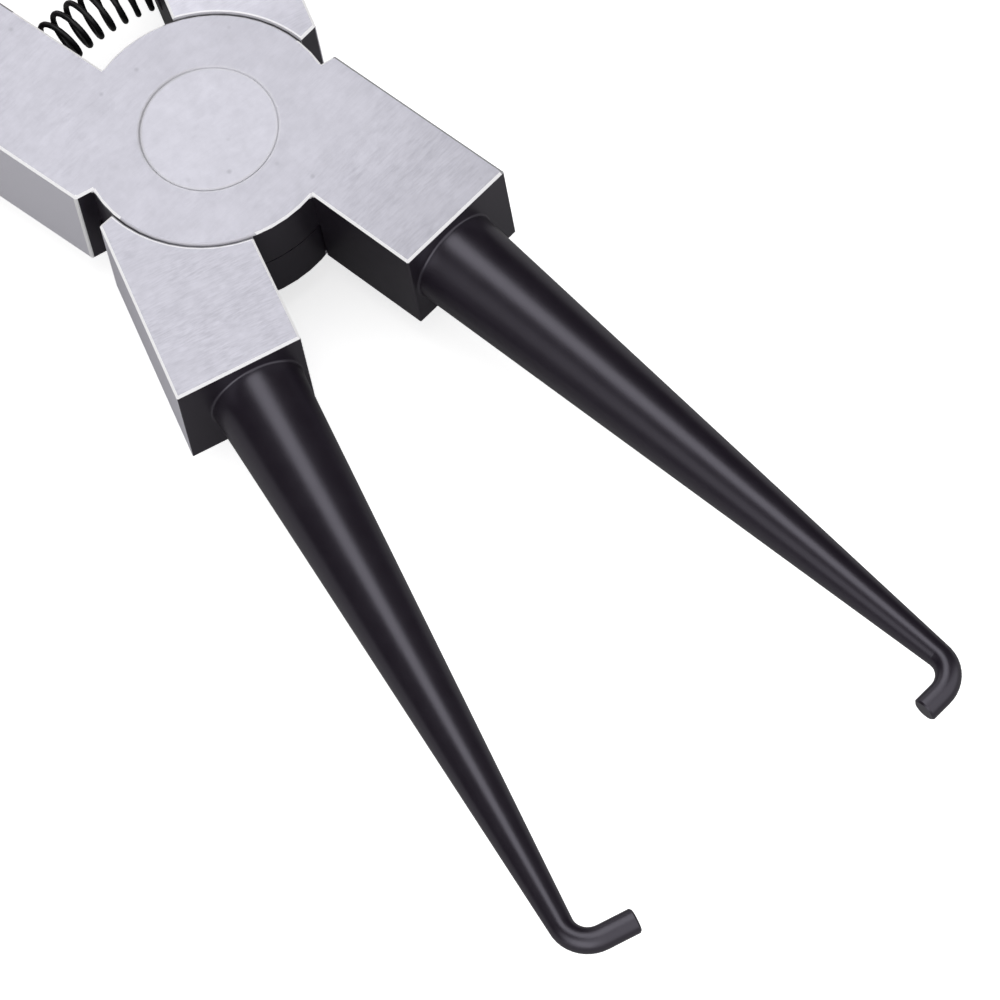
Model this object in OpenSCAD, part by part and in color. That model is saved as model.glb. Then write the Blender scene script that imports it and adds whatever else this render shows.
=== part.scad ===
// Fuel line pliers: two crossed half-lap levers on one flush rivet, long tapered round jaws with
// square-turned hook tips, a coil spring between the handles and two-shot grips.
// The pivot axis is +Z through the origin, the jaws point along +X, the underside of the head is Z = 0.
// Each lever is drawn closed, with its jaw along +X, and is turned open by the rest angle.

/* [Head] */
// Thickness of the forged head
head_t = 10.4; // [9:0.1:12]
// Radius of the half-thickness joint disc
disc_r = 10.5; // [10:0.1:10.9]
// Radial gap between a joint disc and the pocket it turns in
pocket_gap = 0.15; // [0.1:0.05:0.4]
// Gap between the two half-thickness discs
lap_gap = 0.12; // [0.04:0.02:0.2]
// Distance from the pivot to the end face of a jaw block
block_end = 20.5; // [19.5:0.1:23]
// Height of the block's outer side above the jaw's centreline plane, at its end face
block_outer = 12.9; // [12.3:0.1:14]
// Height of the block's inner side above the centreline plane, at its end face
block_inner = 1.95; // [1.3:0.05:2.1]
// Slope of the block's outer side
outer_slope = 4.75; // [2:0.25:6]
// Slope of the block's inner side
inner_slope = 3.9; // [2:0.1:5]
// Width of the bevel on the ground edges
bevel = 0.2; // [0.1:0.05:0.4]
// Width of the bevel on the upright corners, along both sides
corner_bevel = 0.08; // [0.05:0.01:0.3]
// Width of the bevel turned on the rim of the disc
rim_bevel = 0.18; // [0.08:0.05:0.33]
// Width of the bevel turned on the rim of the pocket
pocket_bevel = 0.17; // [0.12:0.05:0.42]
// Width of the softer bevel left by the forging along the underside
under_bevel = 0.25; // [0.2:0.05:0.6]

/* [Opening] */
// Half of the angle between the jaws at rest
rest_angle = 9.35; // [8:0.05:11]
// Angle that the levers open from rest until their shoulders meet
stop_travel = 15.25; // [14:0.25:17]
// Direction of the front lever's jaw shoulder, from the jaw's line
front_shoulder = 75.8; // [74:0.1:77]
// Direction of the rear lever's jaw shoulder, from the jaw's line
rear_shoulder = 73.1; // [72:0.1:75]

/* [Jaws and hooks] */
// Height of the round jaw's axis above the centreline plane
jaw_axis = 6.45; // [6.4:0.05:7]
// Diameter of the round jaw where it leaves the block
jaw_base_d = 8; // [6:0.25:8.25]
// Diameter of the hook, and of the round jaw where it bends
hook_d = 2.1; // [1.6:0.1:2.6]
// Distance from the pivot to the hook's axis
jaw_reach = 75.75; // [60:0.25:90]
// Radius of the bend, on its centreline
bend_r = 2.4; // [1.6:0.1:2.8]
// Distance of the front hook's end face from the centreline plane
front_hook_end = 2.2; // [1.5:0.1:2.8]
// Distance of the rear hook's end face from the centreline plane
rear_hook_end = 1.15; // [1:0.05:2]
// Bevel round the hook's end face
hook_bevel = 0.15; // [0.05:0.05:0.3]
// Fillet round the foot of the round jaw
foot_fillet = 0.2; // [0.1:0.05:0.3]

/* [Rivet] */
// Diameter of the rivet's flush heads
rivet_head_d = 11.15; // [9.5:0.05:12]
// Diameter of the rivet's shank
rivet_shank_d = 9; // [7.5:0.1:9.3]
// Depth of the countersink that holds each head
rivet_sink = 1.2; // [0.8:0.1:2]
// Radial running clearance round the rivet
rivet_gap = 0.05; // [0.02:0.01:0.1]
// Bevel round the rivet's face and round its seat
rivet_bevel = 0.08; // [0.05:0.01:0.2]

/* [Return spring] */
// Distance from the pivot back to the middle of the spring's bowed axis
spring_back = 17.4; // [16.8:0.1:19]
// Length of the spring along its axis at rest
spring_length = 18; // [16:0.5:19]
// Outer diameter of the spring
spring_od = 4.3; // [3.8:0.1:4.8]
// Diameter of the spring wire
spring_wire = 0.5; // [0.45:0.01:0.65]
// Number of turns
spring_turns = 15; // [13:0.5:17]
// Radial clearance of the spring in its drilled pocket
spring_gap = 0.25; // [0.15:0.05:0.4]
// Clearance between the spring's end and the pocket's floor
spring_seat_gap = 0.05; // [0.02:0.01:0.2]

/* [Handles] */
// Width of the handle where it passes the joint disc
neck_w = 10.35; // [9.5:0.05:10.6]
// Distance of the handle's centreline from the closed centreline, where it passes the disc
neck_axis = 7.05; // [6.9:0.05:7.3]
// Outward slope of the handle's centreline beside the joint
neck_slope = 5.9; // [5:0.1:7]
// Distance from the pivot back to where the handle thins into its tang
neck_back = 25; // [23.5:0.5:27]
// Length of the thinning between neck and tang
taper_run = 5.5; // [4:0.5:7]
// Width of the tang inside the grip
tang_w = 8; // [6.5:0.25:8.5]
// Thickness of the tang inside the grip
tang_t = 6; // [5:0.25:6.5]
// Distance from the pivot back to the rear end of the handle
handle_back = 156; // [140:1:170]
// Distance of the handle's rear end from the centreline plane
handle_end = 15; // [14:0.5:18]
// Distance from the centreline plane of the control point that bows the handle outwards
handle_bow = 25.5; // [22:0.5:30]

/* [Grips] */
// Width of the grip at its mouth
mouth_w = 13.5; // [12.5:0.5:14.5]
// Thickness of the grip at its mouth
mouth_t = 12.5; // [11.5:0.5:14]
// Width over the finger guard
guard_w = 18.5; // [17:0.5:20]
// Thickness over the finger guard
guard_t = 16.5; // [15:0.5:18]
// How far the finger guard stands outwards of the handle's centreline
guard_shift = 2.5; // [1.5:0.25:3]
// Width of the waist behind the guard
waist_w = 16; // [15:0.5:17.5]
// Thickness of the waist behind the guard
waist_t = 14; // [13.5:0.5:15.5]
// Width over the palm swell
palm_w = 19; // [17:0.5:20.5]
// Thickness over the palm swell
palm_t = 15.5; // [14.5:0.5:17]
// Width of the grip near its heel
heel_w = 17; // [16:0.5:19]
// Thickness of the grip near its heel
heel_t = 14; // [13.5:0.5:16]
// Clearance between the tang and the grip
tang_gap = 0.08; // [0.04:0.02:0.2]
// Distance from the end of the handle's thinning back to the mouth of the grip
mouth_gap = 0.1; // [0.1:0.1:1]
// Thickness of the soft side pads
pad_t = 1.6; // [1.2:0.1:1.8]
// Clearance between a pad and its recess
pad_gap = 0.05; // [0.03:0.01:0.1]

/* [Hidden] */

// Cutting tools run past the surface they cut by this much, and a bevelling wedge past its edge
over = 1;
edge_over = 0.1;
// A piece that is joined to the next one runs this far into it
join_lap = 0.01;
half_t = head_t / 2;
pocket_r = disc_r + pocket_gap;
round_fn = 96;
round_jaw_fn = 64;

// Jaw block: straight outer and inner sides, written as heights at a distance from the pivot
function outer_side(x) = block_outer - (block_end - x) * tan(outer_slope);
function inner_side(x) = block_inner - (block_end - x) * tan(inner_slope);

// Handle neck: a straight centreline at its slope, set so that the two sides pass the disc
neck_start = 10;
function neck_y(x) = (x + neck_start) * tan(neck_slope) - neck_axis;
neck_half = neck_w / 2 / cos(neck_slope);

// A handle shoulder follows from the other lever's jaw shoulder, which it meets when fully open
front_handle_shoulder = rear_shoulder + 2 * rest_angle + stop_travel;
rear_handle_shoulder = front_shoulder + 2 * rest_angle + stop_travel;

// Where a shoulder's radial line meets the sloping outer side that starts there
function jaw_corner(a) =
    let (x = (block_outer - block_end * tan(outer_slope)) / (tan(a) - tan(outer_slope)))
    [x, outer_side(x)];
function handle_corner(a) =
    let (x = (neck_y(0) - neck_half) / (tan(-a) - tan(neck_slope)))
    [x, neck_y(x) - neck_half];

// The upright corner b between a and c, cut back by the bevel along both sides
function cut_corner(a, b, c) =
    [b + corner_bevel * (a - b) / norm(a - b), b + corner_bevel * (c - b) / norm(c - b)];

// Where the line y = rise * x + level leaves the joint disc, on the side of +X or -X
function disc_exit(level, rise, side) =
    let (q = 1 + rise * rise,
         x = (-rise * level + side * sqrt(q * disc_r * disc_r - level * level)) / q)
    [x, rise * x + level];

// Bowed centreline of the handle behind the neck: a cubic curve that leaves the neck in line with it
bow_lead = 30;
bow_back = 112;
bow_p0 = [-neck_back, neck_y(-neck_back)];
bow_p1 = bow_p0 - bow_lead * [cos(neck_slope), sin(neck_slope)];
bow_p2 = [-bow_back, -handle_bow];
bow_p3 = [-handle_back, -handle_end];
function bow(t) = pow(1 - t, 3) * bow_p0 + 3 * t * pow(1 - t, 2) * bow_p1
    + 3 * t * t * (1 - t) * bow_p2 + pow(t, 3) * bow_p3;
function bow_run(t) = 3 * pow(1 - t, 2) * (bow_p1 - bow_p0) + 6 * t * (1 - t) * (bow_p2 - bow_p1)
    + 3 * t * t * (bow_p3 - bow_p2);
function bow_out(t) = let (d = bow_run(t) / norm(bow_run(t))) [-d[1], d[0]];
function ease(v) = (1 - cos(180 * min(1, max(0, v)))) / 2;

tang_steps = 14;
tang_spacing = 1.3;
tang_last = 0.93;
taper_share = taper_run / (handle_back - neck_back);
function tang_half(t, grow) = tang_w / 2 + grow + (neck_w / 2 - tang_w / 2) * (1 - ease(t / taper_share));
function tang_side(side, grow) = [for (i = [0 : tang_steps])
    let (t = tang_last * pow(i / tang_steps, tang_spacing)) bow(t) + side * tang_half(t, grow) * bow_out(t)];

// Both outlines start inside the disc, at this distance from the pivot
plan_foot = disc_r / 4;

// Head outline between a pair of shoulders, without the disc
module jaw_block_plan(shoulder) {
    upper = [block_end, block_outer];
    lower = [block_end, block_inner];
    foot = [plan_foot, inner_side(plan_foot)];
    corner = jaw_corner(shoulder);
    polygon(concat([[0, 0], foot], cut_corner(foot, lower, upper), cut_corner(lower, upper, corner),
                   cut_corner(upper, corner, [0, 0])));
}

module handle_plan(shoulder) {
    outer = tang_side(1, 0);
    inner = tang_side(-1, 0);
    polygon(concat([[0, 0]], cut_corner([0, 0], handle_corner(shoulder), outer[0]), outer,
                   [for (i = [tang_steps : -1 : 0]) inner[i]],
                   [[-plan_foot, neck_y(-plan_foot) + neck_half]]));
}

// A bevel along one straight upper edge and the lower edge under it, with the metal on its left
module edge_bevel(a, b, sizes, before = over, after = over) {
    d = b - a;
    translate([a[0], a[1], 0])
        rotate([0, 0, atan2(d[1], d[0])])
            translate([-before, 0, 0])
                rotate([90, 0, 90])
                    linear_extrude(norm(d) + before + after)
                        for (k = [0, 1])
                            translate([0, k * head_t])
                                mirror([0, k])
                                    polygon([[sizes[k] + over, -over], [-edge_over, sizes[k] + edge_over],
                                             [-edge_over, -over]]);
}

// Everything below the top of the tang and above its underside is kept behind the neck
taper_steps = 6;

module tang_thinning() {
    for (flip = [0, 1])
        translate([0, 0, flip * head_t])
            mirror([0, 0, flip])
                rotate([90, 0, 0])
                    linear_extrude(4 * block_outer)
                        polygon(concat(
                            [for (i = [0 : taper_steps])
                                [-neck_back - taper_run * i / taper_steps,
                                 (head_t - tang_t) / 2 * ease(i / taper_steps)]],
                            [[-handle_back - over, (head_t - tang_t) / 2],
                             [-handle_back - over, -over], [-neck_back, -over]]));
}

// The long round jaw: a cone from the block, a square bend inwards and a short straight hook;
// turn puts the cone's closing edge below (0) or above (180)
module round_jaw(hook_end, turn) {
    straight_end = jaw_reach - bend_r;
    translate([block_end, jaw_axis, half_t])
        rotate([0, 90, 0])
            rotate([0, 0, turn]) {
                translate([0, 0, -over])
                    cylinder(h = over + join_lap, d = jaw_base_d, $fn = round_jaw_fn);
                cylinder(h = straight_end - block_end, d1 = jaw_base_d, d2 = hook_d, $fn = round_jaw_fn);
                rotate_extrude($fn = round_jaw_fn)
                    difference() {
                        square([jaw_base_d / 2 + foot_fillet, foot_fillet]);
                        translate([jaw_base_d / 2 + foot_fillet, foot_fillet])
                            circle(r = foot_fillet, $fn = round_jaw_fn);
                    }
            }
    translate([straight_end, jaw_axis - bend_r, half_t])
        rotate_extrude(angle = 90, $fn = round_jaw_fn)
            translate([bend_r, 0])
                circle(d = hook_d, $fn = round_jaw_fn);
    translate([jaw_reach, jaw_axis - bend_r, half_t])
        rotate([90, 0, 0]) {
            hook_run = jaw_axis - bend_r - hook_end;
            cylinder(h = hook_run - hook_bevel, d = hook_d, $fn = round_jaw_fn);
            translate([0, 0, hook_run - hook_bevel])
                cylinder(h = hook_bevel, d1 = hook_d, d2 = hook_d - 2 * hook_bevel, $fn = round_jaw_fn);
        }
}

// The spring bows about the point where the necks' inner sides would meet, and runs straight in its
// pockets, which are drilled square to those sides
spring_turn = rest_angle + neck_slope;
bow_centre = -(neck_y(0) + neck_half) / (sin(rest_angle) + tan(neck_slope) * cos(rest_angle));
bow_radius = spring_back + bow_centre;
bowed_half = bow_radius * spring_turn * PI / 180;

module spring_pocket() {
    depth = spring_length / 2 - bowed_half + spring_seat_gap;
    rotate([0, 0, -rest_angle])
        translate([bow_centre, 0, half_t])
            rotate([0, 0, spring_turn])
                translate([-bow_radius, over, 0])
                    rotate([90, 0, 0])
                        cylinder(h = depth + over, d = spring_od + 2 * spring_gap, $fn = round_jaw_fn);
}

// The stepped bore that the rivet fills: a straight shank and a countersink in the outer face
module rivet_bore() {
    shank = rivet_shank_d / 2 + rivet_gap;
    head = rivet_head_d / 2 + rivet_gap;
    translate([0, 0, -over])
        cylinder(h = head_t + 2 * over, r = shank, $fn = round_fn);
    translate([0, 0, head_t - rivet_sink])
        cylinder(h = rivet_sink - rivet_bevel, r1 = shank, r2 = head, $fn = round_fn);
    translate([0, 0, head_t - rivet_bevel])
        cylinder(h = rivet_bevel + over, r1 = head, r2 = head + rivet_bevel + over, $fn = round_fn);
}

// One forging, drawn closed, with its disc in the upper half and its pocket in the lower half;
// sizes holds the bevels of the lower and the upper edges
module lever(jaw_shoulder, handle_shoulder, hook_end, sizes, turn) {
    jaw_outer = jaw_corner(jaw_shoulder);
    handle_outer = handle_corner(handle_shoulder);
    block_foot = disc_exit(inner_side(0), tan(inner_slope), 1);
    neck_foot = disc_exit(neck_y(0) + neck_half, tan(neck_slope), -1);
    disc_h = half_t - lap_gap / 2;
    edge_foot = disc_r - rim_bevel / 2;
    difference() {
        union() {
            translate([0, 0, half_t + lap_gap / 2]) {
                linear_extrude(disc_h) {
                    jaw_block_plan(jaw_shoulder);
                    handle_plan(handle_shoulder);
                }
                cylinder(h = disc_h - rim_bevel, r = disc_r, $fn = round_fn);
                translate([0, 0, disc_h - rim_bevel])
                    cylinder(h = rim_bevel, r1 = disc_r, r2 = disc_r - rim_bevel, $fn = round_fn);
            }
            difference() {
                linear_extrude(half_t + lap_gap) {
                    jaw_block_plan(jaw_shoulder);
                    handle_plan(handle_shoulder);
                }
                translate([0, 0, -over])
                    cylinder(h = half_t + lap_gap / 2 + over, r = pocket_r, $fn = round_fn);
                translate([0, 0, -over])
                    cylinder(h = pocket_bevel + over, r1 = pocket_r + pocket_bevel + over, r2 = pocket_r,
                             $fn = round_fn);
            }
            round_jaw(hook_end, turn);
        }
        rivet_bore();
        tang_thinning();
        spring_pocket();
        edge_bevel([block_end, block_inner], [block_end, block_outer], sizes);
        edge_bevel(block_foot, [block_end, block_inner], sizes, before = rim_bevel / 2);
        edge_bevel([block_end, block_outer], jaw_outer, sizes);
        edge_bevel(jaw_outer, edge_foot * [cos(jaw_shoulder), sin(jaw_shoulder)], sizes, after = 0);
        edge_bevel(handle_outer, edge_foot * [cos(handle_shoulder), -sin(handle_shoulder)], sizes, after = 0);
        edge_bevel([-neck_back, neck_y(-neck_back) - neck_half], handle_outer, sizes, before = -bevel);
        edge_bevel(neck_foot, [-neck_back, neck_y(-neck_back) + neck_half], sizes,
                   before = rim_bevel / 2, after = -bevel);
    }
}

// Opens one lever to its rest place: the front lever as drawn, the rear one turned over
module place_front() {
    rotate([0, 0, rest_angle])
        children();
}

module place_rear() {
    rotate([0, 0, -rest_angle])
        translate([0, 0, head_t])
            rotate([180, 0, 0])
                children();
}

module pivot_rivet() {
    upper = [[rivet_shank_d / 2, head_t - rivet_sink],
        [rivet_head_d / 2, head_t - rivet_bevel],
        [rivet_head_d / 2 - rivet_bevel, head_t]];
    lower = [for (i = [2 : -1 : 0]) [upper[i][0], head_t - upper[i][1]]];
    color("gainsboro")
        rotate_extrude($fn = round_fn)
            polygon(concat([[0, 0]], lower, upper, [[0, head_t]]));
}

// The spring wire is swept along a helix on the bowed axis, with closed end turns
coil_rings = 14;
wire_sides = 6;
coil_r = (spring_od - spring_wire) / 2;
closed_turns = 1.25;
closed_gap = 0.04;
closed_pitch = spring_wire + closed_gap;
coil_pitch = (spring_length - spring_wire - 2 * closed_turns * closed_pitch)
    / (spring_turns - 2 * closed_turns);
function coil_rise(n) = -spring_length / 2 + spring_wire / 2 + min(n, closed_turns) * closed_pitch
    + max(0, min(n, spring_turns - closed_turns) - closed_turns) * coil_pitch
    + max(0, n - (spring_turns - closed_turns)) * closed_pitch;
function wire_ring(n) =
    let (a = 360 * n, lean = atan2(coil_pitch, 2 * PI * coil_r),
         bowed = min(bowed_half, max(-bowed_half, coil_rise(n))),
         turn = spring_turn * bowed / bowed_half,
         along = [sin(turn), cos(turn), 0],
         across = [cos(turn), -sin(turn), 0],
         out = cos(a) * across + [0, 0, sin(a)],
         up = cos(lean) * along + sin(lean) * (sin(a) * across - [0, 0, cos(a)]),
         c = coil_r * out - bow_radius * across + (coil_rise(n) - bowed) * along)
    [for (k = [0 : wire_sides - 1])
        c + spring_wire / 2 * (cos(360 * k / wire_sides) * out + sin(360 * k / wire_sides) * up)];

module return_spring() {
    last = ceil(spring_turns * coil_rings);
    points = [for (i = [0 : last]) each wire_ring(spring_turns * i / last)];
    // The mirror turns the right-handed helix into the left-handed one of this spring
    color("dimgray")
        translate([bow_centre, 0, half_t])
            mirror([0, 0, 1])
                polyhedron(points, concat(
                    [[for (k = [wire_sides - 1 : -1 : 0]) k]],
                    [for (i = [0 : last - 1], k = [0 : wire_sides - 1])
                        let (a = i * wire_sides, b = a + wire_sides, m = (k + 1) % wire_sides)
                        each [[a + k, a + m, b + m], [a + k, b + m, b + k]]],
                    [[for (k = [0 : wire_sides - 1]) last * wire_sides + k]]));
}

// Grip sections are soft rectangles; their half width and half thickness ease from station to station
grip_start = (taper_run + mouth_gap) / (3 * bow_lead);
grip_stations = [[0, mouth_w, mouth_t, 0], [0.035, guard_w, guard_t, 2 * guard_shift],
    [0.1, waist_w, waist_t, 0], [0.42, palm_w, palm_t, 0], [1, heel_w, heel_t, 0]];
heel_start = 0.93;
heel_cut = 0.92;
mouth_round = 0.006;
mouth_squeeze = 0.06;
corner_power = 0.78;
// Both ends are rounded: a quarter ellipse round the heel, and a small rounding at the mouth
function end_round(u) = u > heel_start
    ? sqrt(1 - heel_cut * pow((u - heel_start) / (1 - heel_start), 2))
    : u < mouth_round ? 1 - mouth_squeeze * (1 - sin(90 * u / mouth_round)) : 1;
function at_station(u, k) =
    let (i = len([for (s = grip_stations) if (s[0] < u) s]), j = max(1, min(len(grip_stations) - 1, i)),
         lo = grip_stations[j - 1], hi = grip_stations[j])
    (lo[k] + (hi[k] - lo[k]) * ease((u - lo[0]) / (hi[0] - lo[0]))) / 2;
function soft(c) = sign(c) * pow(abs(c), corner_power);
function grip_point(u, a, sink) =
    let (t = grip_start + (1 - grip_start) * u,
         half_w = at_station(u, 1) * end_round(u) - sink, half_h = at_station(u, 2) * end_round(u) - sink,
         p = bow(t) + (at_station(u, 3) + half_w * soft(cos(a))) * bow_out(t))
    [p[0], p[1], half_t + half_h * soft(sin(a))];

// Closes a stack of rings, each with the same number of points, into one solid
module ring_stack(rings) {
    n = len(rings[0]);
    m = len(rings);
    polyhedron([for (r = rings) each r], concat(
        [[for (k = [0 : n - 1]) k]],
        [for (i = [0 : m - 2], k = [0 : n - 1])
            let (a = i * n, b = a + n, q = (k + 1) % n)
            each [[a + k, b + q, a + q], [a + k, b + k, b + q]]],
        [[for (k = [n - 1 : -1 : 0]) (m - 1) * n + k]]));
}

grip_sides = 24;
grip_rings = [0, 0.003, 0.006, 0.015, 0.025, 0.035, 0.055, 0.075, 0.1, 0.15, 0.2, 0.26, 0.34, 0.42, 0.5,
    0.58, 0.66, 0.74, 0.82, 0.9, 0.93, 0.945, 0.96, 0.972, 0.982, 0.99, 0.996, 1];
pad_first = 0.1;
pad_last = 0.91;
pad_half_angle = 46;
pad_blunt = 0.015;
pad_point_power = 0.45;
// Degrees that a recess is wider than its pad on each side, for each millimetre of clearance
pad_widening = 12;
pad_rings = 16;
pad_arcs = 5;

// A side pad is a strip of the grip's skin, pointed at both ends; grow widens it into its recess
function pad_ring(side, v, grow) =
    let (u = pad_first + (pad_last - pad_first) * v,
         reach = pad_half_angle * pow(sin(180 * min(1 - pad_blunt, max(pad_blunt, v))), pad_point_power)
             + grow * pad_widening,
         low = (side > 0 ? 0 : 180) - reach,
         step = 2 * reach / pad_arcs)
    concat([for (k = [0 : pad_arcs]) grip_point(u, low + step * k, grow > 0 ? -over : 0)],
           [for (k = [pad_arcs : -1 : 0]) grip_point(u, low + step * k, pad_t + grow)]);

module grip_pad(side, grow = 0) {
    ring_stack([for (i = [0 : pad_rings]) pad_ring(side, ease(i / pad_rings), grow)]);
}

module grip_core() {
    difference() {
        ring_stack([for (u = grip_rings)
            [for (k = [0 : grip_sides - 1]) grip_point(u, 360 * k / grip_sides, 0)]]);
        translate([0, 0, half_t - tang_t / 2 - tang_gap])
            linear_extrude(tang_t + 2 * tang_gap)
                polygon(concat(tang_side(1, tang_gap),
                    [for (i = [tang_steps : -1 : 0]) tang_side(-1, tang_gap)[i]]));
        grip_pad(1, pad_gap);
        grip_pad(-1, pad_gap);
    }
}

module front_lever() {
    color("silver")
        place_front()
            lever(front_shoulder, front_handle_shoulder, front_hook_end, [under_bevel, bevel], 0);
}

module rear_lever() {
    color("silver")
        place_rear()
            lever(rear_shoulder, rear_handle_shoulder, rear_hook_end, [bevel, under_bevel], 180);
}

module front_grip_core() {
    color("firebrick")
        place_front()
            grip_core();
}

module rear_grip_core() {
    color("firebrick")
        place_rear()
            grip_core();
}

module front_grip_outer_pad() {
    color("black")
        place_front()
            grip_pad(1);
}

module front_grip_inner_pad() {
    color("black")
        place_front()
            grip_pad(-1);
}

module rear_grip_outer_pad() {
    color("black")
        place_rear()
            grip_pad(1);
}

module rear_grip_inner_pad() {
    color("black")
        place_rear()
            grip_pad(-1);
}

front_lever();
rear_lever();
pivot_rivet();
return_spring();
front_grip_core();
front_grip_outer_pad();
front_grip_inner_pad();
rear_grip_core();
rear_grip_outer_pad();
rear_grip_inner_pad();
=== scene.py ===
import math

import bpy
from mathutils import Matrix, Vector


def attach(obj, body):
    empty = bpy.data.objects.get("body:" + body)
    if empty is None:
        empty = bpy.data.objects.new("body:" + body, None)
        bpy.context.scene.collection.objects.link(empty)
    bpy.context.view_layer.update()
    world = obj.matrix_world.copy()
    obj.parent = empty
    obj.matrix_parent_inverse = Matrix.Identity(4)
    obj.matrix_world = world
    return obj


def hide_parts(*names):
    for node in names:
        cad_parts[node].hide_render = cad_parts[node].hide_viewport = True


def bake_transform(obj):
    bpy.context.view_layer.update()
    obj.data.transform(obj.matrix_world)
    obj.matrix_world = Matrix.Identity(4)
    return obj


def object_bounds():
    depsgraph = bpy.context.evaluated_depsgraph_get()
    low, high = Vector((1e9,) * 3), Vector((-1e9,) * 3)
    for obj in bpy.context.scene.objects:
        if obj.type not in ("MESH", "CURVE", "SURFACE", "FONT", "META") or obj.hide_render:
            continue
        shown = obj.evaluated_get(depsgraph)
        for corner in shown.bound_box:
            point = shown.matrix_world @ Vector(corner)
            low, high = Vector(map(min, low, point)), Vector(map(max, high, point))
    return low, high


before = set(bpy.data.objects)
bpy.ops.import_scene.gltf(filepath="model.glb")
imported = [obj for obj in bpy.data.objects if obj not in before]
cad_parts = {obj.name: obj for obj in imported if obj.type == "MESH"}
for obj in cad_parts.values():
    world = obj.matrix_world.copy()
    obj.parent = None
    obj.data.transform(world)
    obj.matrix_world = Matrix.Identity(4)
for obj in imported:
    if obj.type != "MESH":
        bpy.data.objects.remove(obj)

cad_low, cad_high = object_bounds()

# Camera
# A long lens from above and from the jaws' side, as in the photograph. Its place and turn come from
# fitting the levers' plan to the picture, so it sits where the head, jaws and hooks line up.

scene = bpy.context.scene
scene.view_settings.view_transform = "Standard"

EYE = Vector((0.3198717, -0.1338657, 0.6188715))
RIGHT = Vector((0.58998368, 0.80174221, -0.09554412))
DOWN = Vector((0.69660722, -0.56526971, -0.44182409))
FORWARD = Vector((-0.40823722, 0.19411228, -0.89199932))

photo_camera = bpy.data.objects.new("photo_camera", bpy.data.cameras.new("photo_camera"))
photo_camera.data.sensor_width = 36.0
photo_camera.data.lens = 315.25
photo_camera.data.clip_start = 0.01
photo_camera.data.clip_end = 20.0
turn = Matrix((RIGHT, -DOWN, -FORWARD)).transposed()
photo_camera.matrix_world = Matrix.Translation(EYE) @ turn.to_4x4()
scene.collection.objects.link(photo_camera)
scene.camera = photo_camera

# Floor and light
# The pliers lie on their grips on a plain white sheet, under one long soft box and a weaker one beside
# them. The camera sees the sheet and the room as white, and the sheet keeps the soft shadow. In
# reflections the sheet is grey, and the room is white but for a dark band over the head.

FLOOR_SIZE = 6.0
FLOOR_GAP = 0.00002
FLOOR_COLOUR = (0.80, 0.80, 0.80, 1.0)
FLOOR_REFLECTED = (0.28, 0.28, 0.28, 1.0)
FLOOR_WHITE = 0.66

bpy.ops.object.select_all(action="DESELECT")
bpy.ops.mesh.primitive_plane_add(size=FLOOR_SIZE, location=(0, 0, cad_low.z - FLOOR_GAP))
floor = bpy.context.object
floor.name = "floor"


def feed(socket, value):
    """Links another socket into this one, or sets it to a plain number, vector or colour."""
    if isinstance(value, bpy.types.NodeSocket):
        socket.id_data.links.new(value, socket)
    else:
        socket.default_value = value


def add_node(tree, kind, inputs=()):
    """A new shader node; inputs tell what feeds each named or numbered input."""
    node = tree.nodes.new("ShaderNode" + kind)
    for name, value in dict(inputs).items():
        feed(node.inputs[name], value)
    return node


def new_material(name):
    """An empty material of that name, its node tree and its output."""
    material = bpy.data.materials.new(name)
    material.use_nodes = True
    tree = material.node_tree
    tree.nodes.clear()
    return material, tree, add_node(tree, "OutputMaterial")


def calculate(operation, *values):
    """The output of one Math node on sockets and plain numbers, in the tree of the sockets."""
    sockets = [value for value in values if isinstance(value, bpy.types.NodeSocket)]
    node = add_node(sockets[0].id_data, "Math", enumerate(values))
    node.operation = operation
    return node.outputs[0]


def spread(value, low, high, out_low=0.0, out_high=1.0):
    """A value that runs from out_low to out_high as the given one goes from low to high."""
    node = add_node(value.id_data, "MapRange", {
        "Value": value, "From Min": low, "From Max": high, "To Min": out_low, "To Max": out_high})
    return node.outputs["Result"]


def apart(value, middle):
    """How far a value is from a number, on either side of it."""
    return calculate("ABSOLUTE", calculate("SUBTRACT", value, middle))


sheet, tree, output = new_material("white_sheet")
plain = add_node(tree, "BsdfDiffuse", {"Color": FLOOR_COLOUR})
reflected = add_node(tree, "BsdfDiffuse", {"Color": FLOOR_REFLECTED})
lift = add_node(tree, "Emission", {"Strength": FLOOR_WHITE})
lifted = add_node(tree, "AddShader", {0: plain.outputs[0], 1: lift.outputs[0]})
seen = add_node(tree, "LightPath")
choice = add_node(tree, "MixShader", {
    "Fac": seen.outputs["Is Camera Ray"], 1: reflected.outputs[0], 2: lifted.outputs[0]})
feed(output.inputs["Surface"], choice.outputs[0])
floor.data.materials.append(sheet)

# The band's middle and how far it stays dark and fades, as the X of a reflection's direction
ROOM_AMBIENT = 0.92
BAND_X = -0.41
BAND_HALF = 0.38
BAND_EDGE = 0.62

room = bpy.data.worlds.new("white_room")
scene.world = room
room.use_nodes = True
tree = room.node_tree
tree.nodes.clear()
seen = add_node(tree, "LightPath")
where = add_node(tree, "TexCoord")
direction = add_node(tree, "SeparateXYZ", {0: where.outputs["Generated"]})
off_band = apart(direction.outputs[0], BAND_X)
ambient = add_node(tree, "Background", {"Strength": ROOM_AMBIENT})
reflected = add_node(tree, "Background", {"Strength": spread(off_band, BAND_HALF, BAND_EDGE)})
white = add_node(tree, "Background", {"Strength": 1.0})
unseen = add_node(tree, "MixShader", {
    "Fac": seen.outputs["Is Glossy Ray"], 1: ambient.outputs[0], 2: reflected.outputs[0]})
choice = add_node(tree, "MixShader", {
    "Fac": seen.outputs["Is Camera Ray"], 1: unseen.outputs[0], 2: white.outputs[0]})
add_node(tree, "OutputWorld", {"Surface": choice.outputs[0]})


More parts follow.
